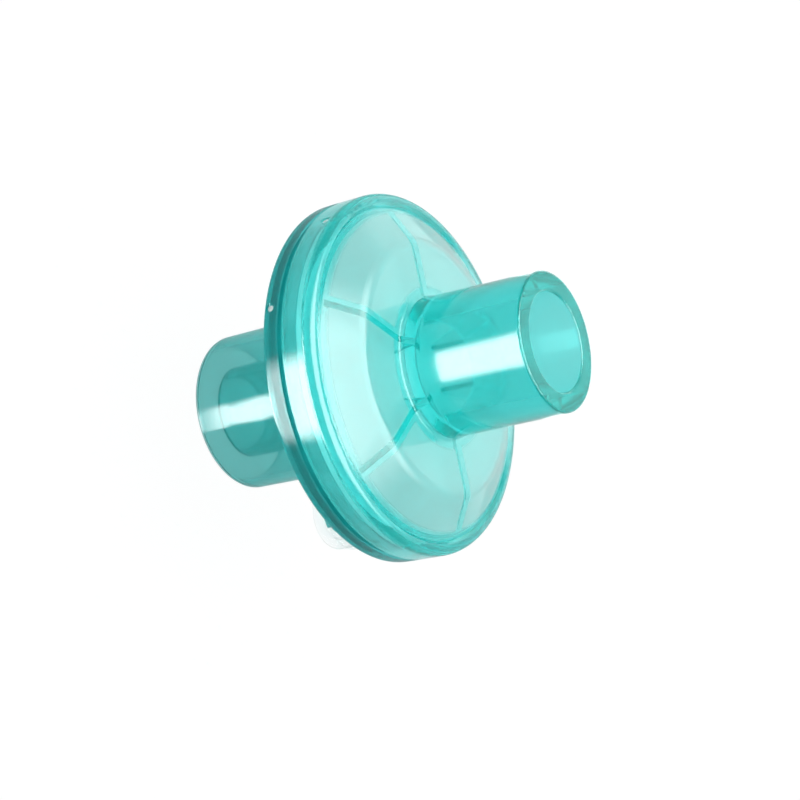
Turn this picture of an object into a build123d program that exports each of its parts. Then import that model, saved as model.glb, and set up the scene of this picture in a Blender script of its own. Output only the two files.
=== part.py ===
"""Breathing circuit filter: two domed shells with conical ports, a pad of filter media and a luer cap.

The filter stands on its machine port. +Z is the flow axis, towards the patient port, and the origin
is the centre of the machine port's end face. Sizes are in millimetres.
"""

import os
from math import atan2, cos, radians, sin, tan

from build123d import *

# Cones of the breathing system, with their taper on diameter
cone_taper = 1 / 40
large_mouth_diameter = 22.37
large_cone_length = 21.0
small_mouth_diameter = 15.47
small_cone_length = 16.0
cone_edge_round = 0.4

# Rim, where the two shells are welded
rim_diameter = 57.8
patient_rim_height = 5.6
machine_rim_height = 3.35
patient_rim_round = 1.5
machine_rim_round = 0.8
seam_chamfer = 0.4
skirt_thickness = 1.9
spigot_thickness = 1.6
spigot_height = 2.0
weld_clearance = 0.1
seam_gap = 0.05

# Domes, the same on both shells
wall = 1.3
dome_rise = 3.55
dome_width = 6.0
dome_edge_inset = 2.8
shoulder_round = 4.0
groove_width = 1.1
groove_depth = 0.4

# Patient port, 22 mm outside and 15 mm inside
patient_port_length = 20.7
patient_root_round = 0.8
funnel_height = 3.0
funnel_round = 1.5

# Machine port, a 22 mm socket around a 15 mm cone
machine_port_length = 23.2
socket_wall = 1.65
port_draft_angle = 0.3
inner_tube_wall = 1.45
inner_tube_recess = 0.9
machine_root_round = 0.8
tube_lead_round = 1.0

# Ribs that keep the media off the domes
rib_count = 6
rib_thickness = 1.0
rib_gap_to_media = 0.6
rib_bore_gap = 0.35
patient_rib_angle = 30.0

# Filter media, a soft pad pinched at its edge
media_thickness = 3.0
media_edge_thickness = 1.2
media_clearance = 0.3
media_bulge_width = 2.3
media_round = 2.0

# Gas sampling port with a luer cone and two locking lugs
luer_angle = 270.0
luer_taper = 6 / 100
luer_mouth_diameter = 4.3
luer_cone_length = 8.0
luer_port_diameter = 6.2
luer_port_length = 9.1
luer_passage_diameter = 2.0
luer_foot_width = 0.8
luer_foot_height = 0.5
luer_root_round = 0.6
lug_span = 7.8
lug_width = 3.4
lug_thickness = 1.0

# Luer cap
cap_diameter = 11.4
cap_skirt_length = 4.4
cap_end_thickness = 1.0
cap_end_round = 0.8
cap_lip_height = 1.2
cap_lip_overhang = 0.4
cap_lug_clearance = 0.3
cap_seat_gap = 0.2
cap_socket_gap = 0.54
cap_plug_length = 6.0
cap_plug_clearance = 0.04
cap_plug_bore_diameter = 2.0

# Gate marks, small dimples where the plastic entered each mould
gate_ball_radius = 1.6
gate_depth = 0.25
patient_gate_angle = 119.0
patient_gate_height = 3.1
machine_gate_angle = 152.0
machine_gate_height = 2.0

# Heights along the flow axis
rim_radius = rim_diameter / 2
socket_floor_height = machine_port_length
seam_height = machine_port_length + dome_rise + machine_rim_height
patient_flat_height = seam_height + patient_rim_height + dome_rise
patient_end_height = patient_flat_height + patient_port_length

# Media heights: the pad is pinched between the machine shell's spigot and the patient shell's ledge
media_edge_bottom = seam_height + spigot_height
media_edge_top = media_edge_bottom + media_edge_thickness
media_top = media_edge_top + (media_thickness - media_edge_thickness) / 2
media_bottom = media_top - media_thickness

# Rim radii: the machine shell's spigot fits in the patient shell's skirt
pocket_radius = rim_radius - skirt_thickness
spigot_radius = pocket_radius - weld_clearance
chamber_radius = spigot_radius - spigot_thickness

# Dome lines: the inner line is the outer one set in by the wall
dome_edge_radius = rim_radius - dome_edge_inset
shoulder_radius = dome_edge_radius - dome_width
dome_angle = atan2(dome_rise, dome_width)
inner_shoulder_radius = shoulder_radius - wall * tan(dome_angle / 2)
inner_shoulder_round = shoulder_round - wall
inner_dome_drop = (chamber_radius - inner_shoulder_radius) * tan(dome_angle)

# Cone radii
large_mouth_radius = large_mouth_diameter / 2
large_tip_radius = large_mouth_radius - large_cone_length * cone_taper / 2
small_mouth_radius = small_mouth_diameter / 2
small_tip_radius = small_mouth_radius - small_cone_length * cone_taper / 2
tube_bore_radius = small_tip_radius - inner_tube_wall


def dome_outside(rim_height):
    """Points of a shell's outside as (radius, height above the seam), from the rim to the shoulder."""
    return [
        (rim_radius, rim_height),
        (dome_edge_radius + groove_width, rim_height),
        (dome_edge_radius + groove_width / 2, rim_height - groove_depth),
        (dome_edge_radius, rim_height),
        (shoulder_radius, rim_height + dome_rise),
    ]


def dome_inside(rim_height):
    """Points of a shell's inside, from the flat's shoulder down to the chamber wall."""
    flat = rim_height + dome_rise - wall
    return [(inner_shoulder_radius, flat), (chamber_radius, flat - inner_dome_drop)]


def patient_side(points):
    """Heights above the seam, turned towards the patient port."""
    return [(radius, seam_height + height) for radius, height in points]


def machine_side(points):
    """Heights above the seam, turned towards the machine port."""
    return [(radius, seam_height - height) for radius, height in points]


def round_corners(sketch, radius, points):
    """Fillet the corners of a section that lie at these points."""
    for point in points:
        fillet(sketch.vertices().sort_by_distance((*point, 0))[0], radius)


def chamfer_corner(sketch, length, point):
    """Chamfer the corner of a section that lies at this point."""
    chamfer(sketch.vertices().sort_by_distance((*point, 0))[0], length)


# Patient shell: one moulding of port, funnel, dome, skirt and ribs
patient_outside = patient_side(dome_outside(patient_rim_height))
patient_inside = patient_side(dome_inside(patient_rim_height))
patient_inner_flat = patient_flat_height - wall
patient_root_radius = large_tip_radius + patient_port_length * cone_taper / 2
patient_bore_top = patient_end_height - small_cone_length
funnel_top = patient_inner_flat + funnel_height
skirt_end_height = seam_height + seam_gap

with BuildPart() as patient_shell:
    with BuildSketch(Plane.XZ) as section:
        with BuildLine():
            Polyline(
                (rim_radius, skirt_end_height),
                *patient_outside,
                (patient_root_radius, patient_flat_height),
                (large_tip_radius, patient_end_height),
                (small_mouth_radius, patient_end_height),
                (small_tip_radius, patient_bore_top),
                (small_tip_radius, funnel_top),
                (patient_root_radius, patient_inner_flat),
                *patient_inside,
                (chamber_radius, media_edge_top),
                (pocket_radius, media_edge_top),
                (pocket_radius, skirt_end_height),
                close=True,
            )
        make_face()
        round_corners(section, patient_rim_round, [patient_outside[0]])
        round_corners(section, shoulder_round, [patient_outside[-1]])
        round_corners(section, inner_shoulder_round, [patient_inside[0]])
        round_corners(section, patient_root_round, [(patient_root_radius, patient_flat_height)])
        round_corners(
            section,
            funnel_round,
            [(small_tip_radius, funnel_top), (patient_root_radius, patient_inner_flat)],
        )
        round_corners(
            section,
            cone_edge_round,
            [(large_tip_radius, patient_end_height), (small_mouth_radius, patient_end_height)],
        )
        chamfer_corner(section, seam_chamfer, (rim_radius, skirt_end_height))
    revolve(axis=Axis.Z)

    # Ribs run from the chamber's edge to the bore, and up the funnel
    patient_rib_edge = media_top + rib_gap_to_media
    for index in range(rib_count):
        angle = patient_rib_angle + index * 360 / rib_count
        with BuildSketch(Plane.XZ.rotated((0, 0, angle))):
            with BuildLine():
                Polyline(
                    (small_tip_radius + rib_bore_gap, patient_rib_edge),
                    (chamber_radius, patient_rib_edge),
                    (chamber_radius, patient_inside[1][1] + wall / 2),
                    (inner_shoulder_radius, patient_inner_flat + wall / 2),
                    (patient_root_radius, patient_inner_flat + wall / 2),
                    (small_tip_radius + rib_bore_gap, funnel_top + wall / 2),
                    close=True,
                )
            make_face()
        extrude(amount=rib_thickness / 2, both=True)

    # Gate mark on the skirt
    with Locations(
        Location((0, 0, seam_height + patient_gate_height), (0, 0, patient_gate_angle))
        * Location((rim_radius + gate_ball_radius - gate_depth, 0, 0))
    ):
        Sphere(gate_ball_radius, mode=Mode.SUBTRACT)

patient_shell.part.label = "patient_shell"


# Machine shell: socket, inner cone, dome, spigot, ribs and gas sampling port in one moulding
machine_outside = machine_side(dome_outside(machine_rim_height))
machine_inside = machine_side(dome_inside(machine_rim_height))
machine_inner_flat = socket_floor_height + wall
socket_mouth_outer_radius = large_mouth_radius + socket_wall
socket_root_outer_radius = socket_mouth_outer_radius + machine_port_length * tan(radians(port_draft_angle))
socket_cone_top = large_cone_length
socket_floor_radius = large_mouth_radius - socket_cone_top * cone_taper / 2
inner_cone_top = inner_tube_recess + small_cone_length

# Gas sampling port: as close to the socket as the cap's lip allows
cap_radius = cap_diameter / 2
cap_lip_radius = cap_radius + cap_lip_overhang
luer_radius_from_axis = socket_root_outer_radius + cap_socket_gap + cap_lip_radius
luer_x = luer_radius_from_axis * cos(radians(luer_angle))
luer_y = luer_radius_from_axis * sin(radians(luer_angle))
luer_axis = Axis(origin=(luer_x, luer_y, 0), direction=(0, 0, 1))
luer_section_plane = Plane(origin=(luer_x, luer_y, 0), x_dir=(1, 0, 0), z_dir=(0, -1, 0))
luer_end_height = socket_floor_height - luer_port_length
luer_end_plane = Plane(origin=(luer_x, luer_y, luer_end_height), x_dir=(1, 0, 0), z_dir=(0, 0, 1))
luer_port_radius = luer_port_diameter / 2
luer_foot_radius = luer_port_radius + luer_foot_width
luer_mouth_radius = luer_mouth_diameter / 2
luer_bore_top_radius = luer_mouth_radius - luer_cone_length * luer_taper / 2

with BuildPart() as machine_shell:
    with BuildSketch(Plane.XZ) as section:
        with BuildLine():
            Polyline(
                (rim_radius, seam_height),
                *machine_outside,
                (socket_root_outer_radius, socket_floor_height),
                (socket_mouth_outer_radius, 0),
                (large_mouth_radius, 0),
                (socket_floor_radius, socket_cone_top),
                (socket_floor_radius, socket_floor_height),
                (small_mouth_radius, socket_floor_height),
                (small_mouth_radius, inner_cone_top),
                (small_tip_radius, inner_tube_recess),
                (tube_bore_radius, inner_tube_recess),
                (tube_bore_radius, machine_inner_flat),
                *machine_inside,
                (chamber_radius, media_edge_bottom),
                (spigot_radius, media_edge_bottom),
                (spigot_radius, seam_height),
                close=True,
            )
        make_face()
        round_corners(section, machine_rim_round, [machine_outside[0]])
        round_corners(section, shoulder_round, [machine_outside[-1]])
        round_corners(section, inner_shoulder_round, [machine_inside[0]])
        round_corners(section, machine_root_round, [(socket_root_outer_radius, socket_floor_height)])
        round_corners(section, tube_lead_round, [(tube_bore_radius, machine_inner_flat)])
        round_corners(
            section,
            cone_edge_round,
            [
                (socket_mouth_outer_radius, 0),
                (large_mouth_radius, 0),
                (small_tip_radius, inner_tube_recess),
                (tube_bore_radius, inner_tube_recess),
            ],
        )
        chamfer_corner(section, seam_chamfer, (rim_radius, seam_height))
    revolve(axis=Axis.Z)

    # Gas sampling port: its foot runs into the dome and is then cleared out of the chamber
    with BuildSketch(luer_section_plane) as section:
        with BuildLine():
            Polyline(
                (0, luer_end_height),
                (luer_port_radius, luer_end_height),
                (luer_port_radius, socket_floor_height - luer_foot_height),
                (luer_foot_radius, socket_floor_height),
                (luer_foot_radius, machine_inside[1][1]),
                (0, machine_inside[1][1]),
                close=True,
            )
        make_face()
        round_corners(section, luer_root_round, [(luer_port_radius, socket_floor_height - luer_foot_height)])
    revolve(axis=luer_axis)
    with BuildSketch(Plane.XZ) as section:
        with BuildLine():
            Polyline(
                (luer_radius_from_axis - luer_port_diameter, machine_inner_flat),
                *machine_inside,
                (chamber_radius, media_edge_bottom),
                (luer_radius_from_axis - luer_port_diameter, media_edge_bottom),
                close=True,
            )
        make_face()
        round_corners(section, inner_shoulder_round, [machine_inside[0]])
    revolve(axis=Axis.Z, mode=Mode.SUBTRACT)

    # Ribs stand on the dome and reach up towards the media, half a pitch round from the patient side's
    machine_rib_edge = media_bottom - rib_gap_to_media
    machine_rib_start = tube_bore_radius + tube_lead_round + rib_bore_gap
    for index in range(rib_count):
        angle = patient_rib_angle + (index + 0.5) * 360 / rib_count
        with BuildSketch(Plane.XZ.rotated((0, 0, angle))):
            with BuildLine():
                Polyline(
                    (machine_rib_start, machine_rib_edge),
                    (chamber_radius + weld_clearance, machine_rib_edge),
                    (chamber_radius + weld_clearance, machine_inside[1][1] - wall / 2),
                    (inner_shoulder_radius, machine_inner_flat - wall / 2),
                    (machine_rib_start, machine_inner_flat - wall / 2),
                    close=True,
                )
            make_face()
        extrude(amount=rib_thickness / 2, both=True)

    # Two lugs at the gas sampling port's end
    with BuildSketch(luer_end_plane):
        Circle(lug_span / 2)
        Rectangle(lug_span, lug_width, mode=Mode.INTERSECT)
    extrude(amount=lug_thickness)

    # Luer cone, then a narrow passage into the chamber
    with BuildSketch(luer_end_plane):
        Circle(luer_mouth_radius)
    with BuildSketch(luer_end_plane.offset(luer_cone_length)):
        Circle(luer_bore_top_radius)
    loft(mode=Mode.SUBTRACT)
    with BuildSketch(luer_end_plane):
        Circle(luer_passage_diameter / 2)
    extrude(amount=luer_port_length + dome_rise, mode=Mode.SUBTRACT)

    # Gate mark on the rim
    with Locations(
        Location((0, 0, seam_height - machine_gate_height), (0, 0, machine_gate_angle))
        * Location((rim_radius + gate_ball_radius - gate_depth, 0, 0))
    ):
        Sphere(gate_ball_radius, mode=Mode.SUBTRACT)

machine_shell.part.label = "machine_shell"


# Filter media: a round pad, pinched at its edge and full over the chamber
bulge_radius = chamber_radius - media_clearance
crown_radius = bulge_radius - media_bulge_width
media_radius = spigot_radius - media_clearance

with BuildPart() as filter_media:
    with BuildSketch(Plane.XZ) as section:
        with BuildLine():
            Polyline(
                (0, media_bottom),
                (crown_radius, media_bottom),
                (bulge_radius, media_edge_bottom),
                (media_radius, media_edge_bottom),
                (media_radius, media_edge_top),
                (bulge_radius, media_edge_top),
                (crown_radius, media_top),
                (0, media_top),
                close=True,
            )
        make_face()
        round_corners(section, media_round, [(crown_radius, media_bottom), (crown_radius, media_top)])
    revolve(axis=Axis.Z)

filter_media.part.label = "filter_media"


# Luer cap: a cup with a lip at its mouth and a hollow plug that seals in the luer cone
cap_floor_height = luer_end_height - cap_seat_gap
cap_end_height = cap_floor_height - cap_end_thickness
cap_mouth_height = cap_end_height + cap_skirt_length
cap_inner_radius = lug_span / 2 + cap_lug_clearance
plug_root_radius = luer_mouth_radius - cap_plug_clearance
plug_tip_radius = plug_root_radius - cap_plug_length * luer_taper / 2

with BuildPart() as luer_cap:
    with BuildSketch(luer_section_plane) as section:
        with BuildLine():
            Polyline(
                (0, cap_end_height),
                (cap_radius, cap_end_height),
                (cap_radius, cap_mouth_height - cap_lip_height),
                (cap_lip_radius, cap_mouth_height - cap_lip_height),
                (cap_lip_radius, cap_mouth_height),
                (cap_inner_radius, cap_mouth_height),
                (cap_inner_radius, cap_floor_height),
                (plug_root_radius, cap_floor_height),
                (plug_tip_radius, cap_floor_height + cap_plug_length),
                (cap_plug_bore_diameter / 2, cap_floor_height + cap_plug_length),
                (cap_plug_bore_diameter / 2, cap_floor_height),
                (0, cap_floor_height),
                close=True,
            )
        make_face()
        round_corners(section, cap_end_round, [(cap_radius, cap_end_height)])
    revolve(axis=luer_axis)

luer_cap.part.label = "luer_cap"


os.makedirs("parts", exist_ok=True)
for piece in (patient_shell, machine_shell, filter_media, luer_cap):
    export_step(piece.part, f"parts/{piece.part.label}.step")
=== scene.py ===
"""The looks of a breathing circuit filter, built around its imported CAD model."""

from math import cos, pi, radians, sin

import bpy
from mathutils import Matrix, Vector, noise


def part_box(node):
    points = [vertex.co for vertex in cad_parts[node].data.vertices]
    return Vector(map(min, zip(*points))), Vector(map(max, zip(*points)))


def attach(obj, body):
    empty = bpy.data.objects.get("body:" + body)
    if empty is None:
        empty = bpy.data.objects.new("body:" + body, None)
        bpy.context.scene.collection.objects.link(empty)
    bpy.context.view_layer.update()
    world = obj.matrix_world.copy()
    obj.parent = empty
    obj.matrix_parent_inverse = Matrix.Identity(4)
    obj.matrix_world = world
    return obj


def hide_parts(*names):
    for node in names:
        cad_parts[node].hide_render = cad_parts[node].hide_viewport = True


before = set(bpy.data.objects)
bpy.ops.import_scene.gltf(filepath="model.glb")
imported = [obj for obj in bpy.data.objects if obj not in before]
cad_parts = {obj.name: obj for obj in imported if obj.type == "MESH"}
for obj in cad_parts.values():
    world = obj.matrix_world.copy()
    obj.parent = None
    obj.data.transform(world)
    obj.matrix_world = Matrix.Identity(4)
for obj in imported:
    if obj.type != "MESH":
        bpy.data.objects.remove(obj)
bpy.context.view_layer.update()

WHITE = (1.0, 1.0, 1.0, 1.0)

# Camera at the photograph's viewing angle, rolled so that the flow axis runs across the picture
CAMERA_PLACE = Vector((-0.23941, -0.00491, 0.18439))
CAMERA_BACK = Vector((-0.84130, -0.00471, 0.54055))
CAMERA_UP = Vector((0.10966, 0.97768, 0.17920))
CAMERA_LENS = 80.94

# Clear teal plastic, whose absorption per metre is (1 - colour) times the density
PLASTIC_IOR = 1.55
TEAL_ROUGHNESS = 0.09
TEAL_HAZE_COLOR = (0.01, 0.55, 0.53, 1.0)
PATIENT_ABSORPTION_COLOR = (0.0, 0.97, 0.962, 1.0)
PATIENT_ABSORPTION_DENSITY = 350.0
PATIENT_HAZE = 0.13
MACHINE_ABSORPTION_COLOR = (0.0, 0.925, 0.92, 1.0)
MACHINE_ABSORPTION_DENSITY = 430.0
MACHINE_HAZE = 0.19

# Mottle in the gloss of all the clear plastic, and the shallow ripple that comes with it
MOTTLE_SCALE = 120.0
MOTTLE_DETAIL = 4.0
MOTTLE_ROUGHNESS_SHARES = (0.6, 1.4)
RIPPLE_STRENGTH = 0.08
RIPPLE_HEIGHT = 0.0001

# Painted sheen: a pale, milky haze on the outer face of the patient side's dome, from the port's foot to
# the rim, in place of light reflected on it
DOME_PAINTED_SHEEN_COLOR = (0.72, 0.84, 0.82, 1.0)
DOME_PAINTED_SHEEN_SHARE = 0.36
DOME_INNER_RADIUS = 0.0120
DOME_SHOULDER_RADIUS = 0.0201
DOME_OUTER_RADIUS = 0.0262
DOME_SLOPE = 0.59
DOME_BLEND_WIDTH = 0.0012
PATIENT_PORT_LENGTH = 0.0207
PAINTED_SHEEN_FULL_DEPTH = 0.0005
PAINTED_SHEEN_END_DEPTH = 0.0009

# The painted sheen leaves the six ribs clear
RIB_COUNT = 6
RIB_HALF_WIDTH = 0.0007
RIB_BLEND_WIDTH = 0.0004

# Painted shade: a darker, deeper teal haze on the machine side's thick rim than on the rest of its shell
RIM_PAINTED_SHADE_COLOR = (0.0, 0.4, 0.41, 1.0)
RIM_PAINTED_SHADE_SHARE = 0.5
RIM_RADIUS = 0.0272
RIM_BLEND_WIDTH = 0.0006

# Milky clear plastic of the luer cap, which passes less light straight where it is seen aslant
CAP_ABSORPTION_COLOR = (0.93, 0.955, 0.955, 1.0)
CAP_ABSORPTION_DENSITY = 350.0
CAP_HAZE_COLOR = (0.9, 0.93, 0.93, 1.0)
CAP_HAZE = 0.07
CAP_ROUGHNESS = 0.25
CAP_STRAIGHT = 0.95
CAP_EDGE_STRAIGHT = 0.45
CAP_EDGE_FACING = 0.55

# White felt: fine fibres over soft clouds of denser and thinner felt
FELT_COLORS = ((0.7, 0.72, 0.71, 1.0), (0.78, 0.8, 0.79, 1.0))
FELT_ROUGHNESS = 0.9
CLOUD_SCALE = 350.0
CLOUD_DETAIL = 6.0
FIBRE_SCALE = 2500.0
FIBRE_DETAIL = 3.0
FIBRE_DISTORTION = 1.5
NAP_STRENGTH = 0.5
NAP_HEIGHT = 0.0001

# Felt pad, full over the chamber and pinched at its edge, where it beds into both shells
PAD_EDGE_THICKNESS = 0.0012
PAD_EDGE_WIDTH = 0.0016
PAD_SLOPE_WIDTH = 0.0023
PAD_BITE = 0.00001
PAD_RINGS = 32
PAD_SEGMENTS = 128
PAD_LOFT_DEPTH = 0.00025
PAD_LOFT_SCALE = 220.0
PAD_SHARP_ANGLE = radians(45)

# Rough scars where the moulds' gates broke off, at the bottom of their dimples, painted near-white as a
# highlight in place of a lamp's glint: angle and height
GATE_SCARS = {"patient_shell": (119.0, 0.0332), "machine_shell": (152.0, 0.0281)}
GATE_DIMPLE_DEPTH = 0.00025
SCAR_RADIUS = 0.00055
SCAR_THICKNESS = 0.00012
SCAR_SEGMENTS = 32
SCAR_RINGS = 16
SCAR_UNEVENNESS = 0.2
SCAR_LUMP_SCALE = 2.0
# Near-white colour of the scars: a painted highlight in place of a lamp's glint
SCAR_PAINTED_GLINT_COLOR = (0.93, 0.97, 0.96, 1.0)
SCAR_ROUGHNESS = 0.5
SCAR_GRAIN_SCALE = 4000.0
SCAR_GRAIN_DETAIL = 2.0
SCAR_GRAIN_STRENGTH = 0.4
SCAR_GRAIN_HEIGHT = 0.00005

# Side softbox: a fan of light on the floor, which shows as a band along both ports and the rim
# Its half width at a distance is FAN_SPREAD * distance ** FAN_POWER
FAN_NEAR = 0.010
FAN_FAR = 0.170
FAN_SPREAD = 2.0
FAN_POWER = 1.55
FAN_STEPS = 16
FAN_HEIGHT = 0.0004
FAN_STRENGTH = 17.0
FAN_STRENGTH_THROUGH = 4.0
FAN_SOFTNESS = (0.5, 0.15)

# Softbox overhead, which shows on the dome's slope
TOP_LEFT = -0.40
TOP_RIGHT = 0.50
TOP_HALF_DEPTH = 0.48
TOP_HEIGHT = 0.6
TOP_STRENGTH = 9.5
TOP_SOFTNESS = (0.6, 0.6)

# Low card behind the filter, which shows on the flat of the dome and passes under the port's end
CARD_DISTANCE = 0.033
CARD_RIGHT = -0.040
CARD_LEFT = 0.075
CARD_BOTTOM = 0.036
CARD_TOP = 0.0715
CARD_STRENGTH = 2.0
CARD_SOFTNESS = (0.35, 0.1)

# The white sweep behind the filter is bright and the studio in front of it is dim
WORLD_FRONT_STRENGTH = 0.18
WORLD_BACK_STRENGTH = 1.1
SWEEP_START = -0.2
SWEEP_END = 0.9

# Lamps: place and power
LAMPS = {"lamp_above": ((0.05, 0.05, 0.6), 1.0), "lamp_front": ((-0.45, 0.15, 0.35), 0.5)}
LAMP_AIM = Vector((0, 0, 0.03))
LAMP_SIZE = 0.5

# Paper floor, and how much of its look is plain white to each kind of ray
FLOOR_WHITE = {"Is Camera Ray": 0.93, "Is Glossy Ray": 0.25, "Is Transmission Ray": 0.35}
FLOOR_COLOR = (0.92, 0.92, 0.92, 1.0)
FLOOR_GLOW = 1.04
FLOOR_SIZE = 4.0

# Light has to pass many walls of clear plastic
LIGHT_BOUNCES = 32
GLOSSY_BOUNCES = 24


def new_material(name):
    """An empty node material and its node tree."""
    material = bpy.data.materials.new(name)
    material.use_nodes = True
    material.node_tree.nodes.clear()
    return material, material.node_tree


def feed(tree, entry, value):
    """Give a node's input its value, which is a socket or a constant."""
    if isinstance(value, bpy.types.NodeSocket):
        tree.links.new(value, entry)
    else:
        entry.default_value = value


def add_node(tree, kind, inputs=None):
    """A new node, with the inputs that are named."""
    node = tree.nodes.new(kind)
    for name, value in (inputs or {}).items():
        feed(tree, node.inputs[name], value)
    return node


def math_node(tree, operation, *values):
    """The output of a Math node."""
    node = tree.nodes.new("ShaderNodeMath")
    node.operation = operation
    for entry, value in zip(node.inputs, values):
        feed(tree, entry, value)
    return node.outputs["Value"]


def ramp_node(tree, value, none, full):
    """A smooth rise of a value from 0 at none to 1 at full."""
    ramp = add_node(tree, "ShaderNodeMapRange", {"Value": value, "From Min": none, "From Max": full})
    ramp.interpolation_type = "SMOOTHSTEP"
    return ramp.outputs["Result"]


def range_node(tree, share, low, high, start=0.0):
    """A share from start to 1 turned into a value from low to high."""
    inputs = {"Value": share, "From Min": start, "To Min": low, "To Max": high}
    return add_node(tree, "ShaderNodeMapRange", inputs).outputs["Result"]


def noise_node(tree, place, scale, detail, distortion=0.0):
    """Noise that is fixed to the object."""
    inputs = {"Vector": place, "Scale": scale, "Detail": detail, "Distortion": distortion}
    return add_node(tree, "ShaderNodeTexNoise", inputs).outputs["Fac"]


def bump_node(tree, relief, strength, height):
    """The normal of a surface with a relief."""
    inputs = {"Height": relief, "Strength": strength, "Distance": height}
    return add_node(tree, "ShaderNodeBump", inputs).outputs["Normal"]


def color_mix(tree, share, first, second):
    """Two colours mixed, by the share of the second."""
    mix = tree.nodes.new("ShaderNodeMix")
    mix.data_type = "RGBA"
    for name, value in (("Factor", share), ("A", first), ("B", second)):
        feed(tree, mix.inputs[name], value)
    return mix.outputs["Result"]


def shader_mix(tree, share, first, second):
    """Two shaders mixed, by the share of the second."""
    mix = tree.nodes.new("ShaderNodeMixShader")
    for entry, value in zip(mix.inputs, (share, first, second)):
        feed(tree, entry, value)
    return mix.outputs["Shader"]


def object_place(tree):
    """The place on the object that is shaded."""
    return add_node(tree, "ShaderNodeTexCoord").outputs["Object"]


def around_axis(tree, place):
    """The X, Y and Z of a place, and its distance from the filter's flow axis."""
    axes = add_node(tree, "ShaderNodeSeparateXYZ", {"Vector": place}).outputs
    squares = [math_node(tree, "MULTIPLY", axes[axis], axes[axis]) for axis in "XY"]
    return axes, math_node(tree, "SQRT", math_node(tree, "ADD", *squares))


def dome_painted_sheen_mask(tree, place):
    """A value that is 1 where a pale sheen is painted on the outer face of the patient side's dome, between
    its ribs, and 0 elsewhere.
    """
    axes, radius = around_axis(tree, place)
    past_shoulder = math_node(tree, "SUBTRACT", radius, DOME_SHOULDER_RADIUS)
    slope_run = math_node(tree, "MAXIMUM", past_shoulder, 0.0)
    level = math_node(tree, "MULTIPLY_ADD", slope_run, DOME_SLOPE, axes["Z"])
    flat_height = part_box("patient_shell")[1].z - PATIENT_PORT_LENGTH
    inner = ramp_node(tree, radius, DOME_INNER_RADIUS, DOME_INNER_RADIUS + DOME_BLEND_WIDTH)
    outer = ramp_node(tree, radius, DOME_OUTER_RADIUS, DOME_OUTER_RADIUS - DOME_BLEND_WIDTH)
    # The painted sheen keeps to the outer face, down to a small depth below the flat
    painted_layer = ramp_node(tree, level, flat_height - PAINTED_SHEEN_END_DEPTH, flat_height - PAINTED_SHEEN_FULL_DEPTH)

    # The cosine of three times the angle is 0 along the six ribs, at 30 degrees and every 60 from there
    angle = math_node(tree, "ARCTAN2", axes["Y"], axes["X"])
    lobes = math_node(tree, "COSINE", math_node(tree, "MULTIPLY", angle, RIB_COUNT / 2))
    rib_distance = math_node(tree, "MULTIPLY", lobes, math_node(tree, "MULTIPLY", radius, 2 / RIB_COUNT))
    off_rib = ramp_node(
        tree, math_node(tree, "ABSOLUTE", rib_distance), RIB_HALF_WIDTH, RIB_HALF_WIDTH + RIB_BLEND_WIDTH
    )
    ring = math_node(tree, "MULTIPLY", inner, outer)
    return math_node(tree, "MULTIPLY", math_node(tree, "MULTIPLY", ring, off_rib), painted_layer)


def rim_painted_shade_mask(tree, place):
    """A value that is 1 on the rim of the machine side's shell, where shade is painted, and 0 elsewhere."""
    _, radius = around_axis(tree, place)
    return ramp_node(tree, radius, RIM_RADIUS, RIM_RADIUS + RIM_BLEND_WIDTH)


def clear_plastic(name, roughness, absorption, haze, painted_layer=None, straight=None):
    """Clear moulded plastic with a little haze, which tints light by its depth and lets the lamps through.

    Absorption is a colour and a density, and haze is a colour and a share. Painted layer is the mask,
    colour and share of a part whose haze is painted light: the dome's painted sheen and the rim's painted
    shade.
    Straight is the share of light that passes without bending, seen square on and aslant, and how far
    aslant it starts to change.
    """
    material, tree = new_material(name)
    place = object_place(tree)
    mottle = noise_node(tree, place, MOTTLE_SCALE, MOTTLE_DETAIL)
    smoothest, roughest = [roughness * share for share in MOTTLE_ROUGHNESS_SHARES]
    gloss_inputs = {
        "Base Color": WHITE,
        "IOR": PLASTIC_IOR,
        "Transmission Weight": 1.0,
        "Roughness": range_node(tree, mottle, smoothest, roughest),
        "Normal": bump_node(tree, mottle, RIPPLE_STRENGTH, RIPPLE_HEIGHT),
    }
    plastic = add_node(tree, "ShaderNodeBsdfPrincipled", gloss_inputs).outputs["BSDF"]

    haze_color, haze_share = haze
    # Painted light goes into part of the haze: a paler sheen on the dome, a darker shade on the rim
    if painted_layer:
        painted_layer_mask, painted_layer_color, painted_layer_share = painted_layer
        mask = painted_layer_mask(tree, place)
        haze_color = color_mix(tree, mask, haze_color, painted_layer_color)
        haze_share = range_node(tree, mask, haze_share, painted_layer_share)
    cloud = add_node(tree, "ShaderNodeBsdfDiffuse", {"Color": haze_color}).outputs["BSDF"]
    hazy = shader_mix(tree, haze_share, plastic, cloud)

    passed = add_node(tree, "ShaderNodeLightPath").outputs["Is Shadow Ray"]
    if straight:
        slant = add_node(tree, "ShaderNodeLayerWeight").outputs["Facing"]
        passed = math_node(tree, "MAXIMUM", passed, range_node(tree, slant, *straight))
    see_through = add_node(tree, "ShaderNodeBsdfTransparent").outputs["BSDF"]
    color, density = absorption
    depth_tint = add_node(tree, "ShaderNodeVolumeAbsorption", {"Color": color, "Density": density})
    surface = shader_mix(tree, passed, hazy, see_through)
    volume = depth_tint.outputs["Volume"]
    add_node(tree, "ShaderNodeOutputMaterial", {"Surface": surface, "Volume": volume})
    return material


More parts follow.
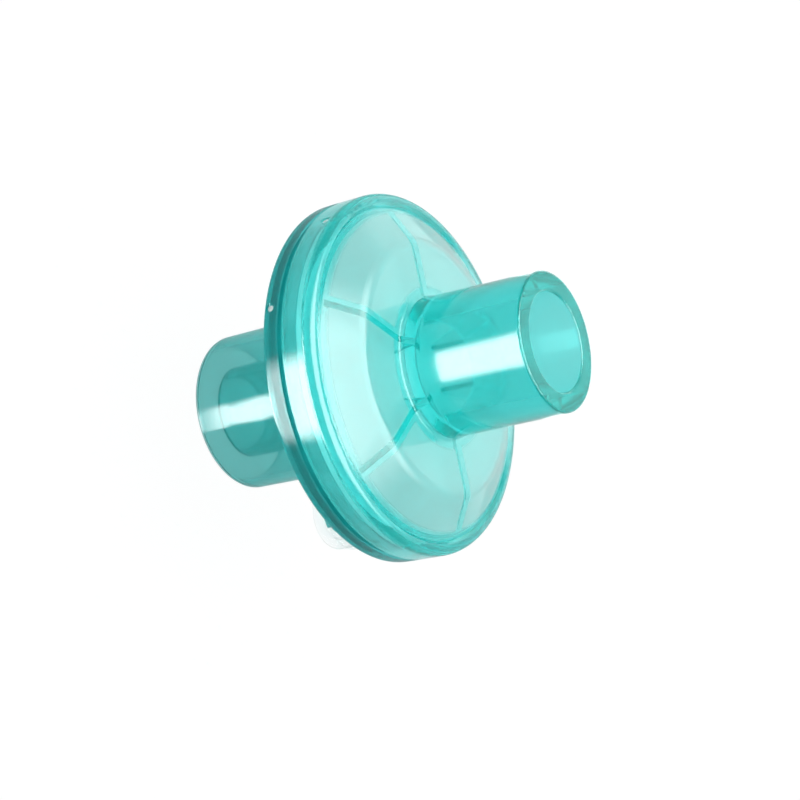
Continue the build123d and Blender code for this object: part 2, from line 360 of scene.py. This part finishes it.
def media_felt():
    """White nonwoven felt."""
    material, tree = new_material("white_media")
    place = object_place(tree)
    clouds = noise_node(tree, place, CLOUD_SCALE, CLOUD_DETAIL)
    fibres = noise_node(tree, place, FIBRE_SCALE, FIBRE_DETAIL, FIBRE_DISTORTION)
    felt_inputs = {
        "Base Color": color_mix(tree, clouds, *FELT_COLORS),
        "Roughness": FELT_ROUGHNESS,
        "Normal": bump_node(tree, fibres, NAP_STRENGTH, NAP_HEIGHT),
    }
    felt = add_node(tree, "ShaderNodeBsdfPrincipled", felt_inputs)
    add_node(tree, "ShaderNodeOutputMaterial", {"Surface": felt.outputs["BSDF"]})
    return material


def painted_glint_scar_plastic():
    """Broken plastic, painted near-white as a highlight in place of a lamp's glint."""
    material, tree = new_material("gate_scar_painted_glint")
    grain = noise_node(tree, object_place(tree), SCAR_GRAIN_SCALE, SCAR_GRAIN_DETAIL)
    scar_inputs = {
        # Near-white painted highlight, in place of a lamp's glint on the gate
        "Base Color": SCAR_PAINTED_GLINT_COLOR,
        "Roughness": SCAR_ROUGHNESS,
        "Normal": bump_node(tree, grain, SCAR_GRAIN_STRENGTH, SCAR_GRAIN_HEIGHT),
    }
    scar = add_node(tree, "ShaderNodeBsdfPrincipled", scar_inputs)
    add_node(tree, "ShaderNodeOutputMaterial", {"Surface": scar.outputs["BSDF"]})
    return material


def white_floor():
    """White paper that keeps a soft shadow, and is mostly plain white to the camera."""
    material, tree = new_material("white_floor")
    path = add_node(tree, "ShaderNodeLightPath")
    whiteness = 0.0
    for ray, white in FLOOR_WHITE.items():
        share = math_node(tree, "MULTIPLY", path.outputs[ray], white)
        whiteness = math_node(tree, "MAXIMUM", whiteness, share)
    paper = add_node(tree, "ShaderNodeBsdfDiffuse", {"Color": FLOOR_COLOR}).outputs["BSDF"]
    glow = add_node(tree, "ShaderNodeEmission", {"Strength": FLOOR_GLOW}).outputs["Emission"]
    add_node(tree, "ShaderNodeOutputMaterial", {"Surface": shader_mix(tree, whiteness, paper, glow)})
    return material


def soft_glow(name, strength, through, softness):
    """A glow that fades out towards the panel's edges, over the two shares of its half width and length.

    Through is its strength for light that comes through the plastic.
    """
    material, tree = new_material(name)
    across = add_node(tree, "ShaderNodeUVMap").outputs["UV"]
    sides = add_node(tree, "ShaderNodeSeparateXYZ", {"Vector": across}).outputs
    fades = []
    for side, share in zip("XY", softness):
        fades.append(ramp_node(tree, math_node(tree, "ABSOLUTE", sides[side]), 1.0, 1.0 - share))
    clear = add_node(tree, "ShaderNodeBsdfTransparent").outputs["BSDF"]
    through_ray = add_node(tree, "ShaderNodeLightPath").outputs["Is Transmission Ray"]
    level = range_node(tree, through_ray, strength, through)
    glow = add_node(tree, "ShaderNodeEmission", {"Strength": level}).outputs["Emission"]
    panel = shader_mix(tree, math_node(tree, "MULTIPLY", *fades), clear, glow)
    add_node(tree, "ShaderNodeOutputMaterial", {"Surface": panel})
    return material


def add_object(name, data):
    """A new object in the scene."""
    made = bpy.data.objects.new(name, data)
    bpy.context.scene.collection.objects.link(made)
    return made


def smooth_step(share):
    """A share held between 0 and 1 and eased at both ends."""
    share = min(max(share, 0), 1)
    return share * share * (3 - 2 * share)


def add_felt_pad():
    """The felt pad with a slightly uneven loft, in place of the CAD model's plain one."""
    low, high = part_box("filter_media")
    middle = (low.z + high.z) / 2
    full_half = (high.z - low.z) / 2
    edge_half = PAD_EDGE_THICKNESS / 2 + PAD_BITE
    slope_end = high.x - PAD_EDGE_WIDTH
    radii = [slope_end * ring / PAD_RINGS for ring in range(1, PAD_RINGS + 1)] + [high.x]
    vertices, faces = [], []
    for side in (1, -1):
        centre = len(vertices)
        vertices.append((0, 0, middle + side * full_half))
        for radius in radii:
            fullness = smooth_step((slope_end - radius) / PAD_SLOPE_WIDTH)
            for step in range(PAD_SEGMENTS):
                turn = 2 * pi * step / PAD_SEGMENTS
                x, y = radius * cos(turn), radius * sin(turn)
                dip = PAD_LOFT_DEPTH * abs(noise.noise(Vector((x, y, side * full_half)) * PAD_LOFT_SCALE))
                half = edge_half + fullness * (full_half - edge_half - dip)
                vertices.append((x, y, middle + side * half))
        for step in range(PAD_SEGMENTS):
            after = (step + 1) % PAD_SEGMENTS
            faces.append((centre, centre + 1 + step, centre + 1 + after)[::side])
            for ring in range(len(radii) - 1):
                inner = centre + 1 + ring * PAD_SEGMENTS
                outer = inner + PAD_SEGMENTS
                faces.append((inner + step, outer + step, outer + after, inner + after)[::side])
    top_edge = 1 + (len(radii) - 1) * PAD_SEGMENTS
    bottom_edge = len(vertices) // 2 + top_edge
    for step in range(PAD_SEGMENTS):
        after = (step + 1) % PAD_SEGMENTS
        faces.append((top_edge + step, bottom_edge + step, bottom_edge + after, top_edge + after))
    mesh = bpy.data.meshes.new("felt_pad")
    mesh.from_pydata(vertices, [], faces)
    mesh.shade_smooth()
    mesh.set_sharp_from_angle(angle=PAD_SHARP_ANGLE)
    mesh.materials.append(media_felt())
    pad = add_object("felt_pad", mesh)
    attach(pad, "housing")
    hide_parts("filter_media")


def scar_point(fall, turn):
    """A point of a gate scar, by its angles down from the top and round."""
    point = Vector((sin(fall) * cos(turn), sin(fall) * sin(turn), cos(fall)))
    unevenness = 1 + SCAR_UNEVENNESS * noise.noise(point * SCAR_LUMP_SCALE)
    x, y, z = point * unevenness
    return (SCAR_THICKNESS * x, SCAR_RADIUS * y, SCAR_RADIUS * z)


def scar_mesh(material):
    """A flat, lumpy stub: its top, its rings from the top down, and its bottom."""
    vertices = [scar_point(0, 0)]
    for ring in range(1, SCAR_RINGS):
        for step in range(SCAR_SEGMENTS):
            vertices.append(scar_point(pi * ring / SCAR_RINGS, 2 * pi * step / SCAR_SEGMENTS))
    vertices.append(scar_point(pi, 0))
    bottom = len(vertices) - 1
    last_ring = bottom - SCAR_SEGMENTS
    faces = []
    for step in range(SCAR_SEGMENTS):
        after = (step + 1) % SCAR_SEGMENTS
        faces.append((0, 1 + step, 1 + after))
        for upper in range(1, last_ring, SCAR_SEGMENTS):
            lower = upper + SCAR_SEGMENTS
            faces.append((lower + after, upper + after, upper + step, lower + step))
        faces.append((bottom, last_ring + after, last_ring + step))
    mesh = bpy.data.meshes.new("gate_scar_painted_glint")
    mesh.from_pydata(vertices, [], faces)
    mesh.shade_smooth()
    mesh.materials.append(material)
    return mesh


def add_gate_scars():
    """The small broken stubs in the dimples of the skirt and the rim."""
    material = painted_glint_scar_plastic()
    for node, (angle, height) in GATE_SCARS.items():
        scar = add_object(node.replace("shell", "gate_scar_painted_glint"), scar_mesh(material))
        dimple_bottom = Vector((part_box(node)[1].x - GATE_DIMPLE_DEPTH, 0, height))
        scar.matrix_world = Matrix.Rotation(radians(angle), 4, "Z") @ Matrix.Translation(dimple_bottom)
        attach(scar, "housing")


def add_floor():
    """A large pale floor under the filter."""
    half = FLOOR_SIZE / 2
    corners = [(-half, -half, 0), (half, -half, 0), (half, half, 0), (-half, half, 0)]
    mesh = bpy.data.meshes.new("floor")
    mesh.from_pydata(corners, [], [(0, 1, 2, 3)])
    mesh.materials.append(white_floor())
    floor = add_object("floor", mesh)


def add_lamps():
    """The area lamps, which highlights don't show."""
    for name, (place, power) in LAMPS.items():
        light = bpy.data.lights.new(name, "AREA")
        light.shape = "SQUARE"
        light.size = LAMP_SIZE
        light.energy = power
        lamp = add_object(name, light)
        lamp.location = place
        lamp.rotation_euler = (LAMP_AIM - Vector(place)).to_track_quat("-Z", "Y").to_euler()
        lamp.visible_glossy = False


def add_softbox(name, rows, strength, through, softness):
    """A glowing panel that only shows as a highlight on glossy surfaces, or through the plastic.

    Its rows are pairs of edge points. Across each row U runs from -1 to 1, and V does so from the first
    row to the last.
    """
    vertices = [point for row in rows for point in row]
    faces = [(2 * i, 2 * i + 1, 2 * i + 3, 2 * i + 2) for i in range(len(rows) - 1)]
    mesh = bpy.data.meshes.new(name)
    mesh.from_pydata(vertices, [], faces)
    uv = mesh.uv_layers.new(name="across")
    for loop in mesh.loops:
        row, edge = divmod(loop.vertex_index, 2)
        uv.data[loop.index].uv = (2 * edge - 1, 2 * row / (len(rows) - 1) - 1)
    mesh.materials.append(soft_glow(name, strength, through, softness))
    panel = add_object(name, mesh)
    panel.visible_camera = False
    panel.visible_diffuse = False
    panel.visible_transmission = through > 0
    panel.visible_shadow = False


def fan_rows():
    """Edge points of the side softbox, from beside the filter outwards."""
    rows = []
    for step in range(FAN_STEPS + 1):
        distance = FAN_NEAR + (FAN_FAR - FAN_NEAR) * step / FAN_STEPS
        half_width = FAN_SPREAD * distance**FAN_POWER
        rows.append([(-distance, half_width, FAN_HEIGHT), (-distance, -half_width, FAN_HEIGHT)])
    return rows


def add_softboxes():
    """The three softboxes that show on the plastic."""
    add_softbox("side_softbox", fan_rows(), FAN_STRENGTH, FAN_STRENGTH_THROUGH, FAN_SOFTNESS)
    top_rows = [
        [(TOP_LEFT, side * TOP_HALF_DEPTH, TOP_HEIGHT), (TOP_RIGHT, side * TOP_HALF_DEPTH, TOP_HEIGHT)]
        for side in (-1, 1)
    ]
    add_softbox("top_softbox", top_rows, TOP_STRENGTH, 0.0, TOP_SOFTNESS)
    card_rows = [
        [(CARD_DISTANCE, CARD_RIGHT, height), (CARD_DISTANCE, CARD_LEFT, height)]
        for height in (CARD_BOTTOM, CARD_TOP)
    ]
    add_softbox("back_card", card_rows, CARD_STRENGTH, 0.0, CARD_SOFTNESS)


def add_world():
    """Soft studio light that brightens towards the far side, behind a backdrop seen as plain white."""
    world = bpy.data.worlds.new("studio")
    world.use_nodes = True
    tree = world.node_tree
    tree.nodes.clear()
    direction = add_node(tree, "ShaderNodeTexCoord").outputs["Generated"]
    far_side = add_node(tree, "ShaderNodeSeparateXYZ", {"Vector": direction}).outputs["X"]
    sweep = ramp_node(tree, far_side, SWEEP_START, SWEEP_END)
    level = range_node(tree, sweep, WORLD_FRONT_STRENGTH, WORLD_BACK_STRENGTH)
    studio = add_node(tree, "ShaderNodeBackground", {"Color": WHITE, "Strength": level})
    backdrop = add_node(tree, "ShaderNodeBackground", {"Color": WHITE})
    camera_ray = add_node(tree, "ShaderNodeLightPath").outputs["Is Camera Ray"]
    seen = shader_mix(tree, camera_ray, studio.outputs["Background"], backdrop.outputs["Background"])
    add_node(tree, "ShaderNodeOutputWorld", {"Surface": seen})
    bpy.context.scene.world = world


def add_camera():
    """The photograph's camera."""
    camera_data = bpy.data.cameras.new("camera")
    camera_data.lens = CAMERA_LENS
    camera = add_object("camera", camera_data)
    right = CAMERA_UP.cross(CAMERA_BACK).normalized()
    up = CAMERA_BACK.cross(right).normalized()
    turn = Matrix((right, up, CAMERA_BACK)).transposed().to_4x4()
    camera.matrix_world = Matrix.Translation(CAMERA_PLACE) @ turn
    bpy.context.scene.camera = camera


def dress(node, material):
    """Give a CAD node its material."""
    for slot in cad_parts[node].material_slots:
        slot.material = material


milky_cap = clear_plastic(
    "clear_cap_plastic",
    CAP_ROUGHNESS,
    absorption=(CAP_ABSORPTION_COLOR, CAP_ABSORPTION_DENSITY),
    haze=(CAP_HAZE_COLOR, CAP_HAZE),
    straight=(CAP_STRAIGHT, CAP_EDGE_STRAIGHT, CAP_EDGE_FACING),
)
patient_teal = clear_plastic(
    "teal_patient_plastic",
    TEAL_ROUGHNESS,
    absorption=(PATIENT_ABSORPTION_COLOR, PATIENT_ABSORPTION_DENSITY),
    haze=(TEAL_HAZE_COLOR, PATIENT_HAZE),
    # The dome's outer face gets a pale painted sheen in its haze
    painted_layer=(dome_painted_sheen_mask, DOME_PAINTED_SHEEN_COLOR, DOME_PAINTED_SHEEN_SHARE),
)
machine_teal = clear_plastic(
    "teal_machine_plastic",
    TEAL_ROUGHNESS,
    absorption=(MACHINE_ABSORPTION_COLOR, MACHINE_ABSORPTION_DENSITY),
    haze=(TEAL_HAZE_COLOR, MACHINE_HAZE),
    # The rim gets a darker painted shade in its haze
    painted_layer=(rim_painted_shade_mask, RIM_PAINTED_SHADE_COLOR, RIM_PAINTED_SHADE_SHARE),
)
dress("patient_shell", patient_teal)
dress("machine_shell", machine_teal)
dress("luer_cap", milky_cap)

add_felt_pad()
add_gate_scars()
add_floor()
add_world()
add_lamps()
add_softboxes()
add_camera()

scene = bpy.context.scene
scene.view_settings.view_transform = "Standard"
scene.cycles.max_bounces = LIGHT_BOUNCES
scene.cycles.glossy_bounces = GLOSSY_BOUNCES
scene.cycles.transmission_bounces = LIGHT_BOUNCES
scene.cycles.transparent_max_bounces = LIGHT_BOUNCES
